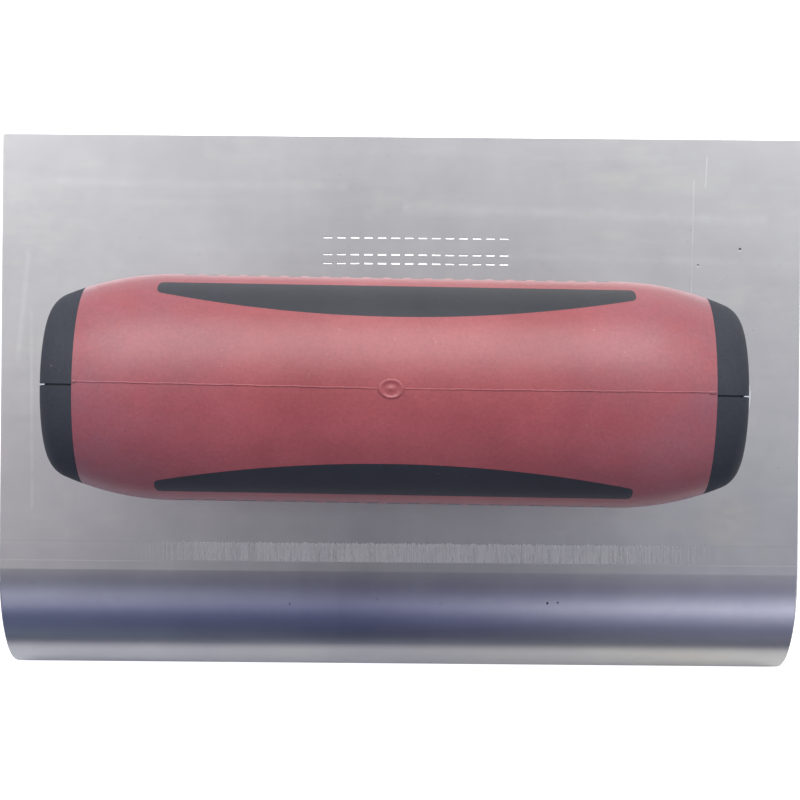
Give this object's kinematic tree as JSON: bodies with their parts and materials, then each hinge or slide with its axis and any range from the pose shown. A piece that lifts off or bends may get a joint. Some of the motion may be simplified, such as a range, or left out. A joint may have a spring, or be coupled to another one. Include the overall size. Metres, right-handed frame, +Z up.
{
  "type": "concrete hand edger",
  "caption": "Concrete hand edger: flat stainless blade with a quarter-round lip along its front edge, and a soft barrel grip on a cast post.",
  "frame": {"origin": "centre of the blade's flat working face, in plan the centre of the whole blade", "axes": "+X along the blade and the handle, +Y away from the rolled lip, +Z up to the handle"},
  "size_m": [0.1524, 0.1035, 0.0828],
  "materials": {
    "stainless_sheet": "mill finish with fine wear, satin",
    "cast_aluminium": "tumbled casting, satin",
    "rivet_alloy": "satin",
    "core_plastic": "pale rigid plastic, smooth",
    "red_grip": "soft moulded grip, matte with a faint bloom",
    "charcoal_plastic": "moulded, satin",
    "zinc_steel": "bright zinc plate",
    "brass_insert": "turned"
  },
  "bodies": {
    "root": {"blade": "stainless_sheet", "mounting": "cast_aluminium", "blade_rivets": "rivet_alloy", "handle_core": "core_plastic", "grip_sleeve": "red_grip", "end_cap_left": "charcoal_plastic", "end_cap_right": "charcoal_plastic", "side_pad_front": "charcoal_plastic", "side_pad_rear": "charcoal_plastic", "handle_screws": "zinc_steel", "lock_washers": "zinc_steel", "flat_washers": "zinc_steel", "threaded_inserts": "brass_insert"}
  },
  "joints": []
}
